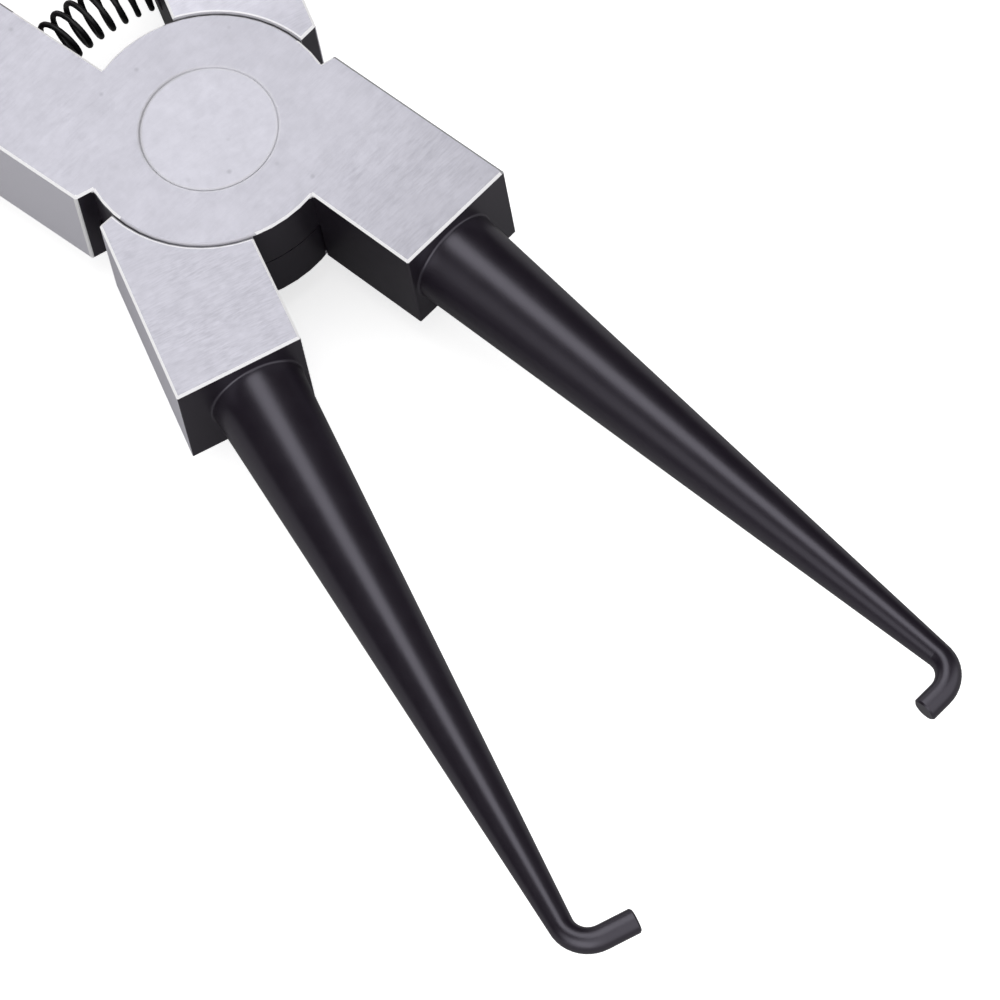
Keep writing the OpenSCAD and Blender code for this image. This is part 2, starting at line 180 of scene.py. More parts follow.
def soft_box(name, place, aim, wide, deep, watts):
    """A rectangular lamp at place, facing aim, its long side along X."""
    lamp = bpy.data.lights.new(name, "AREA")
    lamp.shape = "RECTANGLE"
    lamp.size = wide
    lamp.size_y = deep
    lamp.energy = watts
    box = bpy.data.objects.new(name, lamp)
    back = (Vector(place) - Vector(aim)).normalized()
    along = Vector((1.0, 0.0, 0.0)) - back * back.x
    along.normalize()
    turned = Matrix((along, back.cross(along), back)).transposed()
    box.matrix_world = Matrix.Translation(place) @ turned.to_4x4()
    scene.collection.objects.link(box)


soft_box("long_box", place=(-0.24, 0.062, 0.70), aim=(0.02, 0.0, 0.0), wide=0.80, deep=0.41, watts=1.60)
soft_box("left_box", place=(0.22, -0.33, 0.26), aim=(0.0, 0.0, 0.0), wide=0.60, deep=0.30, watts=0.40)

# Levers
# Two forgings of tool steel, half-lapped at the pivot. Their flat faces and outer sides are ground
# bright across their length; the forged inner sides, end faces, round jaws and hooks are left black.

# Sizes of the forging in millimetres, in a lever's own frame: drawn closed, with its jaw along +X
MM = 1000.0
REST_TURN = math.radians(9.35)
HEAD_T = 10.4
HALF_T = HEAD_T / 2.0
DISC_R = 10.5
POCKET_R = 10.65
BLOCK_END = 20.5
BLOCK_OUTER = 12.9
OUTER_RISE = math.tan(math.radians(4.75))
NECK_SLOPE = math.radians(5.9)
NECK_RISE = math.tan(NECK_SLOPE)
NECK_W = 10.35
NECK_HALF = NECK_W / 2.0 / math.cos(NECK_SLOPE)
NECK_START = 10.0
NECK_AXIS = 7.05

# Where the neck's middle line passes the pivot
NECK_MIDDLE = NECK_START * NECK_RISE - NECK_AXIS


def times(*values):
    """The product of sockets and plain numbers."""
    product = values[0]
    for value in values[1:]:
        product = calculate("MULTIPLY", product, value)
    return product


def most(*values):
    """The greatest of some values, or masks joined to one."""
    greatest = values[0]
    for value in values[1:]:
        greatest = calculate("MAXIMUM", greatest, value)
    return greatest


def above(value, limit):
    """A mask of where a value is above a limit."""
    return calculate("GREATER_THAN", value, limit)


def below(value, limit):
    """A mask of where a value is below a limit."""
    return calculate("LESS_THAN", value, limit)


def outside(mask):
    """The rest of the surface, where a mask isn't."""
    return calculate("SUBTRACT", 1.0, mask)


def line(x, rise, start):
    """The height of a straight line of that rise at x, which passes x = 0 at start."""
    return calculate("MULTIPLY_ADD", x, rise, start)


def parts_of(vector):
    """A vector's three parts."""
    return add_node(vector.id_data, "SeparateXYZ", {0: vector}).outputs


def away_from_pivot(x, y):
    """The distance from the pivot's axis."""
    return calculate("SQRT", calculate("MULTIPLY_ADD", x, x, times(y, y)))


def blend_colours(share, first, second):
    """A share of the second colour over the first."""
    node = add_node(share.id_data, "Mix")
    node.data_type = "RGBA"
    feed(node.inputs["Factor"], share)
    feed(node.inputs[6], first)
    feed(node.inputs[7], second)
    return node.outputs[2]


def noise(vector, scale, detail=2.0, rough=0.5):
    """The value of one Noise texture."""
    node = add_node(vector.id_data, "TexNoise", {
        "Vector": vector, "Scale": scale, "Detail": detail, "Roughness": rough})
    return node.outputs["Fac"]


def streaks(vector, scales, detail, rough):
    """A noise with its own scale along each axis, which makes streaks."""
    node = add_node(vector.id_data, "VectorMath", {0: vector, 1: scales})
    node.operation = "MULTIPLY"
    return noise(node.outputs[0], 1.0, detail, rough)


def vary(texture, low, high):
    """A value that runs from low to high with a noise, over the range that a noise mostly has."""
    return spread(texture, 0.3, 0.7, low, high)


def new_group(name, inputs, outputs):
    """A shader node group, what is given to it and the sockets for its result."""
    group = bpy.data.node_groups.new(name, "ShaderNodeTree")
    for label, kind in inputs.items():
        group.interface.new_socket(label, in_out="INPUT", socket_type="NodeSocket" + kind)
    for label, kind in outputs.items():
        group.interface.new_socket(label, in_out="OUTPUT", socket_type="NodeSocket" + kind)
    given = group.nodes.new("NodeGroupInput").outputs
    return group, given, group.nodes.new("NodeGroupOutput").inputs


# Ground steel: short fine streaks across the lever in patches, soft blotches and a few dark specks
GROUND_STEEL = (0.582, 0.575, 0.639, 1.0)
STREAK_STEEL = (0.486, 0.480, 0.539, 1.0)
SPECK_STEEL = (0.26, 0.26, 0.29, 1.0)
SPECK_SHARE = 0.35
SPECK_R = (0.14, 0.04)
WIDE_STREAK_SHARE = 0.35

ground, given, result = new_group(
    "ground_steel",
    {"Place": "Vector", "Grain": "Float", "Shade": "Float"},
    {"Color": "Color", "Roughness": "Float", "Height": "Float"})
place = given["Place"]
grain = given["Grain"]
fine = streaks(place, (7.0, 0.9, 0.9), detail=3.0, rough=0.6)
wide = streaks(place, (2.4, 0.45, 0.45), detail=3.0, rough=0.55)
patch = noise(place, scale=0.22)
cloud = noise(place, scale=0.30, detail=3.0, rough=0.55)
mottle = noise(place, scale=1.1, detail=3.0, rough=0.6)
speck_picks = noise(place, scale=0.24, detail=0.0)
speck_cells = add_node(ground, "TexVoronoi", {"Vector": place, "Scale": 0.50})
speck = spread(speck_cells.outputs["Distance"], *SPECK_R)
speck = times(speck, spread(speck_picks, low=0.50, high=0.64), SPECK_SHARE)
patches = spread(patch, low=0.35, high=0.62, out_low=0.35, out_high=1.15)
streak = times(spread(fine, low=0.40, high=0.75), grain, patches)
streak_wide = times(spread(wide, low=0.42, high=0.72), grain)
streak = calculate("MULTIPLY_ADD", streak_wide, WIDE_STREAK_SHARE, streak)
shade = times(vary(cloud, low=0.965, high=1.03), vary(mottle, low=0.965, high=1.035), given["Shade"])
shaded = add_node(ground, "VectorMath", {0: blend_colours(streak, GROUND_STEEL, STREAK_STEEL)})
shaded.operation = "SCALE"
feed(shaded.inputs["Scale"], shade)
feed(result["Color"], blend_colours(speck, shaded.outputs[0], SPECK_STEEL))
feed(result["Roughness"], vary(fine, low=0.33, high=0.40))
feed(result["Height"], fine)

# Where a lever is ground bright and where it is left black, told by the place and the face's direction
lever_faces, given, result = new_group(
    "lever_faces",
    {"Place": "Vector", "Facing": "Vector"},
    dict.fromkeys(("Flat", "Edge", "Side", "Seat", "Shaded Bevel", "Rubbed", "Lip", "Gap Side", "Grain"), "Float"))
x, y, z = parts_of(given["Place"])
off_middle = apart(z, HALF_T)
on_disc_side = above(z, HALF_T)
on_pocket_side = below(z, HALF_T)
up = calculate("ABSOLUTE", parts_of(given["Facing"])[2])
from_pivot = away_from_pivot(x, y)

# Flat faces, level and at full height, and the bevels, which slope just under them
FACE_SLACK = 0.012
END_SLACK = 0.005
LEVEL = 0.95
SLOPING = 0.35
BEVEL_DEPTH = 0.5
flat = times(above(off_middle, HALF_T - FACE_SLACK), above(up, LEVEL))
not_flat = outside(flat)
near_face = above(off_middle, HALF_T - BEVEL_DEPTH)
before_jaw = below(x, BLOCK_END + END_SLACK)
edge = times(above(up, SLOPING), before_jaw, near_face, not_flat)

# The rivet's seat, and the ring that shows round it on the flat face
SEAT_R = 7.0
SEAT_RING_R = (5.86, 5.74)
RING_SHARE = 0.6
round_seat = times(flat, spread(from_pivot, *SEAT_RING_R, 0.0, RING_SHARE))
seat = calculate("ADD", round_seat, times(near_face, below(from_pivot, SEAT_R), not_flat))

# Painted highlights: bevels, the small steps where two bevels meet, the pocket's rim and the handle's corner
BEVEL_STEPS = ((10.35, 1.25), (2.55, 10.1), (-10.25, -1.8), (-3.05, -9.95))
STEP_Z = HEAD_T - 0.15
STEP_REACH = 0.35
POCKET_RIM_R = 10.88
POCKET_RIM_SHARE = 0.6
CORNER_FROM = -3.80
CORNER_TO = -3.50
CORNER_Y = -11.3
for step_x, step_y in BEVEL_STEPS:
    step = add_node(lever_faces, "VectorMath", {0: given["Place"], 1: (step_x, step_y, STEP_Z)})
    step.operation = "DISTANCE"
    edge = most(edge, times(below(step.outputs["Value"], STEP_REACH), not_flat))
pocket_rim = times(on_pocket_side, below(from_pivot, POCKET_RIM_R), POCKET_RIM_SHARE, flat)
corner = times(above(x, CORNER_FROM), below(x, CORNER_TO), below(y, CORNER_Y))
edge = times(most(edge, pocket_rim, corner), above(from_pivot, SEAT_R))

# The two outer sides, ground bright from the disc's shoulders to the block's end and the grip
JAW_SIDE_SLACK = 0.03
HANDLE_SIDE_SLACK = 0.10
JAW_SIDE_FROM = 2.0
HANDLE_SIDE_FROM = -3.0
jaw_side = line(calculate("SUBTRACT", x, BLOCK_END), OUTER_RISE, BLOCK_OUTER - JAW_SIDE_SLACK)
handle_side = line(x, NECK_RISE, NECK_MIDDLE - NECK_HALF + HANDLE_SIDE_SLACK)
on_jaw_side = times(above(y, jaw_side), above(x, JAW_SIDE_FROM))
on_handle_side = times(below(y, handle_side), below(x, HANDLE_SIDE_FROM))
side = times(most(on_jaw_side, on_handle_side), before_jaw)

# Bevels painted dark grey as painted shade: along the block's outer side, and on the handle's inner side
SHADED_BEVEL_WIDTH = 0.22
SHADED_BEVEL_HANDLE_FROM = -19.6
shaded_bevel_jaw = above(y, calculate("SUBTRACT", jaw_side, SHADED_BEVEL_WIDTH))
shaded_bevel_handle = times(below(x, SHADED_BEVEL_HANDLE_FROM), above(y, line(x, NECK_RISE, NECK_MIDDLE)))
shaded_bevel = times(edge, most(shaded_bevel_jaw, shaded_bevel_handle), on_disc_side)

# The round walls of disc and pocket, rubbed bare near the face where they run past each other
WALL_SLACK = 0.06
RUBBED_DEPTH = 0.7
RUBBED_DISC_Y = -4.5
RUBBED_DISC_X = (-1.0, 6.0)
RUBBED_FAINT = 0.15
disc_wall = times(below(apart(from_pivot, DISC_R), WALL_SLACK), below(y, RUBBED_DISC_Y),
                  spread(x, *RUBBED_DISC_X, RUBBED_FAINT, 1.0))
pocket_wall = times(below(apart(from_pivot, POCKET_R), WALL_SLACK), on_pocket_side)
rubbed = times(most(disc_wall, pocket_wall), above(off_middle, HALF_T - RUBBED_DEPTH), not_flat)

# The two lips of the running gap, where a disc turns in the other lever's pocket: less bright than
# free edges, and in shadow towards the gap
DISC_LIP_R = DISC_R + 0.06
POCKET_LIP_R = POCKET_R + 0.10
LIP_PRODUCT = -4.0
LIP_Y = 4.2
GAP_SIDE_R = (10.36, 10.46)
beside_pocket = times(below(times(x, y), LIP_PRODUCT), above(calculate("ABSOLUTE", y), LIP_Y))
disc_lip = times(beside_pocket, below(from_pivot, DISC_LIP_R), on_disc_side)
pocket_lip = times(on_pocket_side, below(from_pivot, POCKET_LIP_R))
lip = times(edge, most(disc_lip, pocket_lip))
gap_side = most(pocket_lip, spread(from_pivot, *GAP_SIDE_R))

# Streaks are faint on the disc and plainer on the neck, and plainest on the jaw block
DISC_GRAIN = 0.28
NECK_GRAIN = 0.5
BLOCK_GRAIN = 0.35
DISC_ENDS = (9.5, 12.0)
BLOCK_STARTS = (8.0, 12.0)
grain = calculate("ADD", spread(from_pivot, *DISC_ENDS, DISC_GRAIN, NECK_GRAIN),
                  spread(x, *BLOCK_STARTS, 0.0, BLOCK_GRAIN))

for label, mask in (("Flat", flat), ("Edge", edge), ("Side", side), ("Seat", seat), ("Shaded Bevel", shaded_bevel),
                    ("Rubbed", rubbed), ("Lip", lip), ("Gap Side", gap_side), ("Grain", grain)):
    feed(result[label], mask)

# The bevels are painted near white and not metallic: a painted highlight that stays bright however the light
# falls
EDGE_PAINTED_HIGHLIGHT = (1.0, 0.995, 1.0, 1.0)
# Painted shade: dark grey on those bevels in place of the painted highlight
BEVEL_PAINTED_SHADE = (0.30, 0.30, 0.31, 1.0)
RUBBED_STEEL = (0.60, 0.595, 0.63, 1.0)
SIDE_STEEL = (0.81, 0.80, 0.86, 1.0)
SEAT_STEEL = (0.64, 0.635, 0.68, 1.0)
SEAT_SHADOW = (0.46, 0.455, 0.48, 1.0)
LIP_STEEL = (0.64, 0.635, 0.69, 1.0)
LIP_SHADOW = (0.40, 0.395, 0.42, 1.0)
BLACK_FINISH = (0.0075, 0.0042, 0.0092, 1.0)
BLACK_FINISH_WORN = (0.0105, 0.0070, 0.0125, 1.0)
BLACK_TINT = (0.90, 0.865, 1.0, 1.0)
FLAT_METAL = 0.75
SIDE_METAL = 0.3
GRAIN_DEPTH = 0.00002

# Where along X the painted light and painted shade set in, towards the handle's end and the jaw's end
HANDLE_FADE = (-10.5, -4.0)
JAW_FADE = (8.0, 20.0)

# The direction across the seat in which its shadow fades, and where it does
SHADOW_X = 0.87
SHADOW_Y = 0.5
SHADOW_FADE = (-5.4, -1.8)


def own_frame(tree, turn, lift):
    """The place in millimetres in a piece's own frame, and the face's direction."""
    where = add_node(tree, "TexCoord")
    place = add_node(tree, "Mapping", {
        "Vector": where.outputs["Object"], "Location": (0, 0, lift), "Rotation": turn, "Scale": (MM, MM, MM)})
    return place.outputs[0], where.outputs["Normal"]


def add_group(tree, group, inputs):
    """The outputs of a group that is placed in a tree with its inputs fed."""
    node = add_node(tree, "Group")
    node.node_tree = group
    for label, value in inputs.items():
        feed(node.inputs[label], value)
    return node.outputs


def seat_colour(x, y):
    """The line between rivet and disc, darker on its shadow side."""
    across = calculate("MULTIPLY_ADD", x, SHADOW_X, times(y, SHADOW_Y))
    return blend_colours(spread(across, *SHADOW_FADE), SEAT_SHADOW, SEAT_STEEL)


def bumped(height, strength, depth):
    """The normal of a surface with that height on it, depth metres deep at full strength."""
    node = add_node(height.id_data, "Bump", {"Height": height, "Strength": strength, "Distance": depth})
    return node.outputs[0]


def add_shader(output, inputs):
    """A Principled shader with its inputs fed, on a material's output."""
    shader = add_node(output.id_data, "BsdfPrincipled", inputs)
    feed(output.inputs["Surface"], shader.outputs[0])


def lever_material(name, turn, lift, handle_painted_light, jaw_painted_shade, grain_share):
    """Forged steel in a lever's own frame: turn and lift carry the row's frame into it. handle_painted_light
    and jaw_painted_shade are painted light and painted shade, which brighten the ground faces towards the
    handle's end and darken them towards the jaw's end for how the light falls; grain_share is how rough."""
    material, tree, output = new_material(name)
    place, facing = own_frame(tree, turn, lift)
    faces = add_group(tree, lever_faces, {"Place": place, "Facing": facing})
    x, y = parts_of(place)[:2]
    # Painted light towards the handle's end and painted shade towards the jaw's end, for how the light falls
    # along the lever
    shade = times(spread(x, *HANDLE_FADE, handle_painted_light, 1.0), spread(x, *JAW_FADE, 1.0, jaw_painted_shade))
    steel = add_group(tree, ground, {
        "Place": place, "Grain": times(faces["Grain"], grain_share), "Shade": shade})

    black_cloud = noise(place, scale=0.6, detail=3.0)
    colour = blend_colours(black_cloud, BLACK_FINISH, BLACK_FINISH_WORN)
    lip = blend_colours(faces["Gap Side"], LIP_STEEL, LIP_SHADOW)
    seat = seat_colour(x, y)
    for label, finish in (("Side", SIDE_STEEL), ("Flat", steel["Color"]), ("Rubbed", RUBBED_STEEL),
                          ("Edge", EDGE_PAINTED_HIGHLIGHT), ("Shaded Bevel", BEVEL_PAINTED_SHADE), ("Lip", lip), ("Seat", seat)):
        colour = blend_colours(faces[label], colour, finish)
    bright = most(faces["Flat"], faces["Side"], faces["Edge"])
    black_rough = vary(black_cloud, low=0.32, high=0.345)
    rough = calculate("MULTIPLY_ADD", outside(bright), black_rough, times(bright, steel["Roughness"]))
    metal = calculate("MULTIPLY_ADD", faces["Side"], SIDE_METAL, times(faces["Flat"], FLAT_METAL))
    add_shader(output, {
        "Base Color": colour,
        "Metallic": times(metal, outside(faces["Edge"])),
        "Roughness": rough,
        "IOR": 1.6,
        "Specular IOR Level": 0.92,
        "Specular Tint": BLACK_TINT,
        "Normal": bumped(times(steel["Height"], bright), strength=0.08, depth=GRAIN_DEPTH)})
    return material


def finish_node(name, material):
    """Puts a material on a CAD node, in place of the one it was packed with."""
    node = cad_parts[name]
    for slot in node.material_slots:
        slot.material = material


finish_node("front_lever", lever_material(
    "front_forging", turn=(0.0, 0.0, -REST_TURN), lift=0.0,
    handle_painted_light=1.0, jaw_painted_shade=0.875, grain_share=0.8))
finish_node("rear_lever", lever_material(
    "rear_forging", turn=(math.pi, 0.0, -REST_TURN), lift=HEAD_T,
    handle_painted_light=1.22, jaw_painted_shade=1.0, grain_share=1.35))

# Rivet
# A countersunk steel rivet, set and ground flush with both faces. It was ground last and finer, so
# it is smoother than the levers, and a thin grey line shows where its rim meets the disc.

RIVET_RIM_R = (5.32, 5.44)
RIVET_GRAIN = 0.10
RIVET_SHADE = 1.07

material, tree, output = new_material("rivet_face")
place, facing = own_frame(tree, turn=(0.0, 0.0, 0.0), lift=0.0)
steel = add_group(tree, ground, {"Place": place, "Grain": RIVET_GRAIN, "Shade": RIVET_SHADE})
flat = above(calculate("ABSOLUTE", parts_of(facing)[2]), LEVEL)
x, y = parts_of(place)[:2]
rim = most(outside(flat), spread(away_from_pivot(x, y), *RIVET_RIM_R, 0.0, RING_SHARE))
add_shader(output, {
    "Base Color": blend_colours(rim, steel["Color"], seat_colour(x, y)),
    "Metallic": times(flat, FLAT_METAL),
    "Roughness": steel["Roughness"],
    "Normal": bumped(steel["Height"], strength=0.04, depth=GRAIN_DEPTH)})
finish_node("pivot_rivet", material)

# Return spring
# One length of black spring wire coiled left-handed, its end turns closed. It isn't fixed: its ends sit
# in pockets drilled square into both necks, so that it bows between them and shortens as they close.

SPRING_BACK = 17.4
SPRING_LENGTH = 18.0
SPRING_TURN = REST_TURN + NECK_SLOPE
BOW_CENTRE = 3.078
BOW_RADIUS = SPRING_BACK + BOW_CENTRE
BOWED_HALF = BOW_RADIUS * SPRING_TURN
WIRE = 0.5
COIL_ACROSS = 4.3
COIL_RADIUS = (COIL_ACROSS - WIRE) / 2
TURNS = 15.0
CLOSED_TURNS = 1.25
CLOSED_GAP = 0.04
CLOSED_PITCH = WIRE + CLOSED_GAP
OPEN_PITCH = (SPRING_LENGTH - WIRE - 2 * CLOSED_TURNS * CLOSED_PITCH) / (TURNS - 2 * CLOSED_TURNS)
POINTS_A_TURN = 36
WIRE_BLACK = (0.006, 0.006, 0.007, 1.0)
WIRE_DRAWN = (0.016, 0.016, 0.018, 1.0)


def coil_point(n):
    """The middle of the wire after n turns, in metres."""
    closed = min(n, CLOSED_TURNS) + max(0.0, n - (TURNS - CLOSED_TURNS))
    opened = max(0.0, min(n, TURNS - CLOSED_TURNS) - CLOSED_TURNS)
    rise = (WIRE - SPRING_LENGTH) / 2 + closed * CLOSED_PITCH + opened * OPEN_PITCH
    bowed = min(BOWED_HALF, max(-BOWED_HALF, rise))
    lean = SPRING_TURN * bowed / BOWED_HALF
    a = 2 * math.pi * n
    across = COIL_RADIUS * math.cos(a) - BOW_RADIUS
    x = BOW_CENTRE + across * math.cos(lean) + (rise - bowed) * math.sin(lean)
    y = -across * math.sin(lean) + (rise - bowed) * math.cos(lean)
    return Vector((x, y, HALF_T - COIL_RADIUS * math.sin(a))) / MM


path = bpy.data.curves.new("spring_path", "CURVE")
path.dimensions = "3D"
path.bevel_depth = WIRE / MM / 2
path.bevel_resolution = 3
path.use_fill_caps = True
helix = path.splines.new("POLY")
steps = int(TURNS * POINTS_A_TURN)
helix.points.add(steps)
for i in range(steps + 1):
    helix.points[i].co = coil_point(TURNS * i / steps).to_4d()
spring = bpy.data.objects.new("coil_spring", path)
scene.collection.objects.link(spring)
bpy.ops.object.select_all(action="DESELECT")
spring.select_set(True)
bpy.context.view_layer.objects.active = spring
bpy.ops.object.convert(target="MESH")
spring = bpy.context.object
bpy.ops.object.shade_smooth()

material, tree, output = new_material("spring_wire")
where = add_node(tree, "TexCoord")
draw_marks = noise(where.outputs["Object"], scale=900.0, detail=3.0)
add_shader(output, {
    "Base Color": blend_colours(draw_marks, WIRE_BLACK, WIRE_DRAWN),
    "Roughness": vary(draw_marks, low=0.28, high=0.42),
    "Specular IOR Level": 0.4})
spring.data.materials.append(material)
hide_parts("return_spring")
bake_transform(spring)

# Grips
# Two-shot mouldings on the tangs: a hard red shell with a finger guard at its mouth, moulded first,
# and a soft black pad moulded into a recess in its outer and in its inner side, with cross grooves.

# The bow of the handle's middle line, from the end of the neck to the end of the tang
NECK_BACK = -25.0
NECK_BACK_Y = NECK_BACK * NECK_RISE + NECK_MIDDLE
BOW_LEAD = 30.0
HANDLE_BOW = (
    (NECK_BACK, NECK_BACK_Y),
    (NECK_BACK - BOW_LEAD * math.cos(NECK_SLOPE), NECK_BACK_Y - BOW_LEAD * math.sin(NECK_SLOPE)),
    (-112.0, -25.5),
    (-156.0, -15.0))

# The grip starts behind the neck's taper
TAPER_RUN = 5.5
MOUTH_GAP = 0.1
GRIP_START = (TAPER_RUN + MOUTH_GAP) / (3.0 * BOW_LEAD)

# Each station's share of the grip's length, half width, half thickness and outward shift
MOUTH_HALF_W = 6.75
MOUTH_HALF_T = 6.25
STATIONS = (
    (0.0, MOUTH_HALF_W, MOUTH_HALF_T, 0.0),
    (0.035, 9.25, 8.25, 2.5),
    (0.1, 8.0, 7.0, 0.0),
    (0.42, 9.5, 7.75, 0.0),
    (1.0, 8.5, 7.0, 0.0))
SKIN_INSIDE = 0.03
CORNER_POWER = 0.78
MOUTH_ROUND = 0.006
MOUTH_SQUEEZE = 0.06
HEEL_CUT = 0.92
HEEL_START = 0.93
HEEL_RUN = 0.07

# The recess for a pad, its ends as shares of the grip's length
PAD_FIRST = 0.1
PAD_LAST = 0.91
PAD_HALF_ANGLE = 46.0
PAD_BLUNT = 0.015
PAD_POINT_POWER = 0.45
RECESS = 0.8
RECESS_MARGIN = 0.9
RECESS_STEP = 0.001


def grip_centre(t):
    """The handle's bowed centreline at t and its outward direction, in the lever's own frame."""
    p = [Vector(corner) for corner in HANDLE_BOW]
    s = 1.0 - t
    centre = s ** 3 * p[0] + 3 * t * s * s * p[1] + 3 * t * t * s * p[2] + t ** 3 * p[3]
    run = 3 * s * s * (p[1] - p[0]) + 6 * t * s * (p[2] - p[1]) + 3 * t * t * (p[3] - p[2])
    run.normalize()
    return centre, Vector((-run.y, run.x))


def grip_section(u):
    """Half width, half thickness and outward shift at u, eased from station to station."""
    for low, high in zip(STATIONS, STATIONS[1:]):
        if u <= high[0]:
            break
    share = (1.0 - math.cos(math.pi * (u - low[0]) / (high[0] - low[0]))) / 2.0
    half_w, half_t, shift = [a + (b - a) * share for a, b in zip(low[1:], high[1:])]
    ending = 1.0
    if u > HEEL_START:
        ending = math.sqrt(max(0.0, 1.0 - ((u - HEEL_START) / HEEL_RUN) ** 2))
    if u < MOUTH_ROUND:
        ending = 1.0 - MOUTH_SQUEEZE + MOUTH_SQUEEZE * math.sin(math.pi / 2 * u / MOUTH_ROUND)
    return (half_w - SKIN_INSIDE) * ending, (half_t - SKIN_INSIDE) * ending, shift


def soften(c, power=CORNER_POWER):
    """A sine or cosine raised to a power, which squares the corners of a section."""
    return math.copysign(abs(c) ** power, c)


def grip_point(u, angle, sink):
    """A point of the grip's skin, sink millimetres under it, in the lever's own frame."""
    centre, out = grip_centre(GRIP_START + (1.0 - GRIP_START) * u)
    half_w, half_t, shift = grip_section(u)
    a = math.radians(angle)
    across = shift + max(0.0, half_w - sink) * soften(math.cos(a))
    return (centre.x + across * out.x, centre.y + across * out.y,
            HALF_T + max(0.0, half_t - sink) * soften(math.sin(a)))


def pad_reach(u):
    """Half of a pad's width at u, as an angle of the section."""
    v = min(1.0 - PAD_BLUNT, max(PAD_BLUNT, (u - PAD_FIRST) / (PAD_LAST - PAD_FIRST)))
    return PAD_HALF_ANGLE * math.sin(math.pi * v) ** PAD_POINT_POWER


GRID = 2.0
MERGE_WITHIN = 0.000002
SHARP_FROM = math.radians(40)


def lofted(name, rows, closed):
    """A grid with its points laid on the rows; closed joins each row's end to its start."""
    rows = [row + [row[0]] if closed else row for row in rows]
    across = len(rows[0]) - 1
    along = len(rows) - 1
    bpy.ops.object.select_all(action="DESELECT")
    bpy.ops.mesh.primitive_grid_add(x_subdivisions=across, y_subdivisions=along, size=GRID)
    piece = bpy.context.object
    piece.name = name
    for vertex in piece.data.vertices:
        i = round((vertex.co.y / GRID + 0.5) * along)
        j = round((vertex.co.x / GRID + 0.5) * across)
        vertex.co = Vector(rows[i][j]) / MM
    bpy.ops.object.mode_set(mode="EDIT")
    bpy.ops.mesh.select_all(action="SELECT")
    bpy.ops.mesh.remove_doubles(threshold=MERGE_WITHIN)
    if closed:
        bpy.ops.mesh.fill_holes(sides=0)
        bpy.ops.mesh.select_all(action="SELECT")
    bpy.ops.mesh.normals_make_consistent(inside=False)
    bpy.ops.object.mode_set(mode="OBJECT")
    bpy.ops.object.shade_smooth_by_angle(angle=SHARP_FROM)
    return piece


def onto_lever(piece, side):
    """Turns a piece from the lever's own frame onto the front or the rear lever."""
    if side == "front":
        place = Matrix.Rotation(REST_TURN, 4, "Z")
    else:
        lift = Matrix.Translation((0, 0, HEAD_T / MM))
        place = Matrix.Rotation(-REST_TURN, 4, "Z") @ lift @ Matrix.Rotation(math.pi, 4, "X")
    piece.data.transform(place)
    piece.data.update()
    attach(piece, side)


# Parts into which a row is divided over half a recess, and from one recess to the next
HALF_RECESS_PARTS = 4
FLANK_PARTS = 14


def shell_row(u, sink=0.0):
    """One row round the shell at u, with both pads' places sunk by so much."""
    reach = pad_reach(u) + RECESS_MARGIN
    points = []
    for middle in (0.0, 180.0):
        for k in range(-HALF_RECESS_PARTS, HALF_RECESS_PARTS + 1):
            points.append(grip_point(u, middle + reach * k / HALF_RECESS_PARTS, sink))
        for k in range(FLANK_PARTS + 1):
            points.append(grip_point(u, middle + reach + (180.0 - 2 * reach) * k / FLANK_PARTS, 0.0))
    return points


# The hole in the mouth: how deep in it each row lies, and how much wider than the tang it is there
TANG_HALF_W = 4.0
TANG_HALF_T = 3.0
HOLE_ROWS = ((4.0, 0.12), (0.6, 0.12), (0.1, 0.5))
HOLE_POWER = 0.3


def hole_row(deep, grow):
    """One row round the mouth's hole, so deep in it and so much wider than the tang."""
    centre, out = grip_centre(GRIP_START)
    along = Vector((out.y, -out.x))
    points = []
    for point in shell_row(0.0):
        level = Vector(point[:2]) - centre
        a = math.atan2((point[2] - HALF_T) / MOUTH_HALF_T, level.dot(out) / MOUTH_HALF_W)
        width = (TANG_HALF_W + grow) * soften(math.cos(a), HOLE_POWER)
        place = centre + width * out + deep * along
        rise = (TANG_HALF_T + grow) * soften(math.sin(a), HOLE_POWER)
        points.append((place.x, place.y, HALF_T + rise))
    return points


# The rows over the mouth's round edge, as shares of the grip's length, then how the others follow
MOUTH_ROWS = [0.0, 0.001, 0.002, 0.004]
GUARD_ROWS = 24
GUARD_SPACING = 0.004
PALM_ROWS = 60
HEEL_ROWS = 16


def shell_rows():
    """Rows of the shell, from inside its mouth over the lip and the guard to the heel."""
    first = PAD_FIRST - RECESS_STEP
    last = PAD_LAST + RECESS_STEP
    guard = [MOUTH_ROUND + GUARD_SPACING * k for k in range(GUARD_ROWS)]
    palm = [first + (last - first) * k / PALM_ROWS for k in range(PALM_ROWS + 1)]
    heel = [HEEL_START + HEEL_RUN * math.sin(math.pi / 2 * k / HEEL_ROWS) for k in range(HEEL_ROWS + 1)]
    rows = [hole_row(deep, grow) for deep, grow in HOLE_ROWS]
    rows += [shell_row(u) for u in MOUTH_ROWS + guard + [first]]
    rows += [shell_row(u, RECESS) for u in palm]
    rows += [shell_row(u) for u in [last, HEEL_CUT] + heel]
    return rows


# A soft pad: its edges are rounded, its rim goes down into the recess, and its grooves start away
# from its ends and fade out at shares of its half width. A degree is so many millimetres across.
PAD_LENGTH = 100.0
PAD_ROUND = 0.35
PAD_BURIED = RECESS + 0.05
DEGREE_ACROSS = 0.15
GROOVE_PITCH = 3.4
GROOVE_DEPTH = 0.45
GROOVE_SHARPNESS = 3
GROOVES_FROM = 11.0
GROOVE_ENDS = 0.86
GROOVE_FADE = 0.12

# Where its points lie: shares of its half width, millimetres from an end, and even rows between
SIDE_SHARES = [1.0, 0.995, 0.985, 0.97, 0.95, 0.92, 0.87, 0.8, 0.7, 0.6, 0.5, 0.4, 0.3, 0.2, 0.1]
END_PLACES = [0.0, 0.03, 0.08, 0.15, 0.25, 0.4, 0.6]
EVEN_FROM = 0.9
EVEN_ROWS = 280


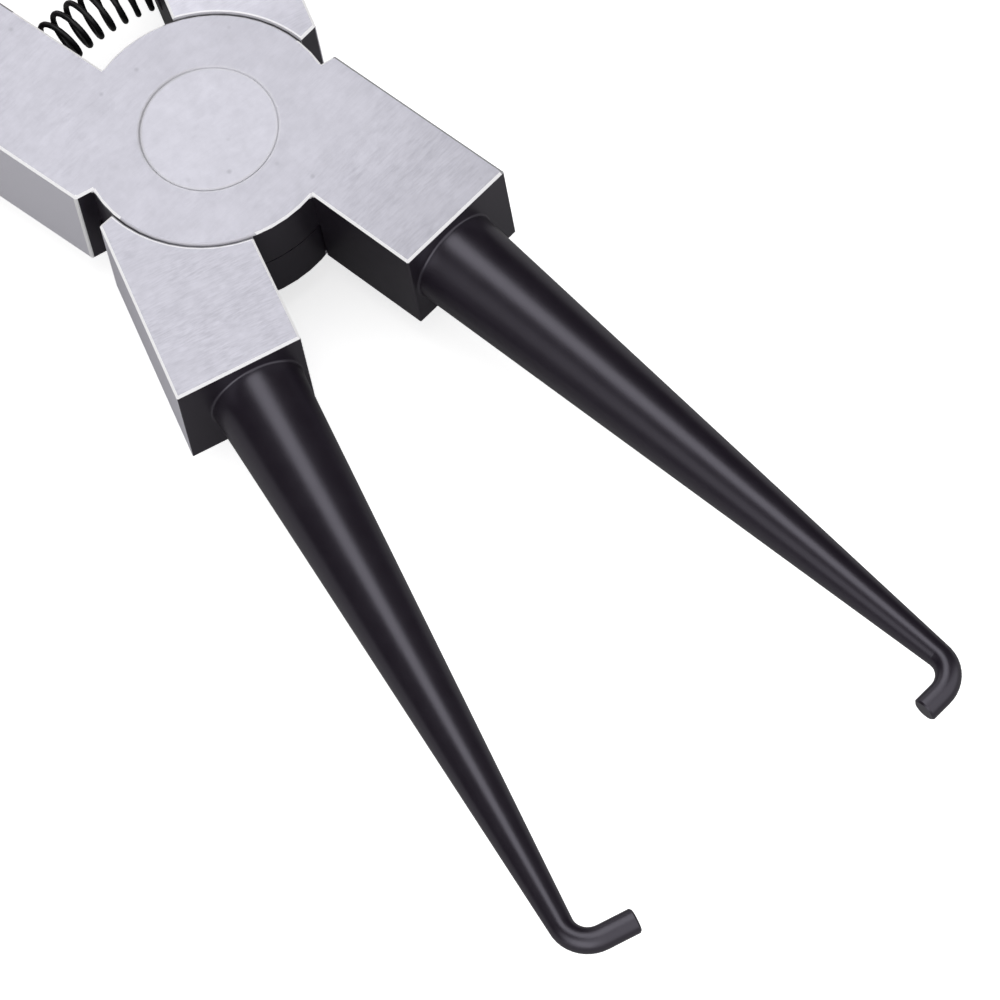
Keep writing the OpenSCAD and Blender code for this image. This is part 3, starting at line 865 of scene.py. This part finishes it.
def pad_rows(middle):
    """Rows of one soft pad, with rounded edges and cross grooves that fade out towards its sides."""
    shares = [-1.0] + [-share for share in SIDE_SHARES] + [0.0] + SIDE_SHARES[::-1] + [1.0]
    even = [EVEN_FROM + (PAD_LENGTH - 2 * EVEN_FROM) * k / EVEN_ROWS for k in range(EVEN_ROWS + 1)]
    places = [0.0] + END_PLACES + even + [PAD_LENGTH - end for end in END_PLACES[::-1]] + [PAD_LENGTH]
    rows = []
    for i, place in enumerate(places):
        u = PAD_FIRST + (PAD_LAST - PAD_FIRST) * place / PAD_LENGTH
        reach = pad_reach(u)
        wave = max(0.0, math.cos(2 * math.pi * place / GROOVE_PITCH)) ** GROOVE_SHARPNESS
        if place < GROOVES_FROM or place > PAD_LENGTH - GROOVES_FROM:
            wave = 0.0
        row = []
        for j, share in enumerate(shares):
            nearest = min((1.0 - abs(share)) * reach * DEGREE_ACROSS, place, PAD_LENGTH - place)
            sink = 0.0
            if nearest < PAD_ROUND:
                sink = PAD_ROUND * (1.0 - math.sqrt(1.0 - (1.0 - nearest / PAD_ROUND) ** 2))
            sink += GROOVE_DEPTH * wave * min(1.0, max(0.0, (GROOVE_ENDS - abs(share)) / GROOVE_FADE))
            if i in (0, len(places) - 1) or j in (0, len(shares) - 1):
                sink = PAD_BURIED
            row.append(grip_point(u, middle + share * reach, sink))
        rows.append(row)
    return rows


CAST_DEPTH = 0.00006


def moulding(name, darker, lighter, cloud_scale, grain_scale, grain_strength, rough, gloss):
    """A moulded finish: a fine cast grain, and a colour that varies a little over the piece."""
    material, tree, output = new_material(name)
    where = add_node(tree, "TexCoord")
    cloud = noise(where.outputs["Object"], cloud_scale)
    grain = noise(where.outputs["Object"], grain_scale)
    add_shader(output, {
        "Base Color": blend_colours(cloud, darker, lighter),
        "Roughness": vary(grain, *rough),
        "Specular IOR Level": gloss,
        "Normal": bumped(grain, grain_strength, CAST_DEPTH)})
    return material


shell_paint = moulding(
    "red_shell", darker=(0.24, 0.012, 0.014, 1.0), lighter=(0.29, 0.016, 0.018, 1.0),
    cloud_scale=60.0, grain_scale=2600.0, grain_strength=0.25, rough=(0.38, 0.5), gloss=0.5)
pad_rubber = moulding(
    "soft_pad", darker=(0.016, 0.016, 0.017, 1.0), lighter=(0.024, 0.024, 0.026, 1.0),
    cloud_scale=90.0, grain_scale=2200.0, grain_strength=0.3, rough=(0.58, 0.72), gloss=0.3)

for side in ("front", "rear"):
    shell = lofted(side + "_shell", shell_rows(), True)
    onto_lever(shell, side)
    shell.data.materials.append(shell_paint)
    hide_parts(side + "_grip_core")
    for place, middle in (("outer", 0.0), ("inner", 180.0)):
        pad = lofted(side + "_" + place + "_pad", pad_rows(middle), False)
        onto_lever(pad, side)
        pad.data.materials.append(pad_rubber)
        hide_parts(side + "_grip_" + place + "_pad")
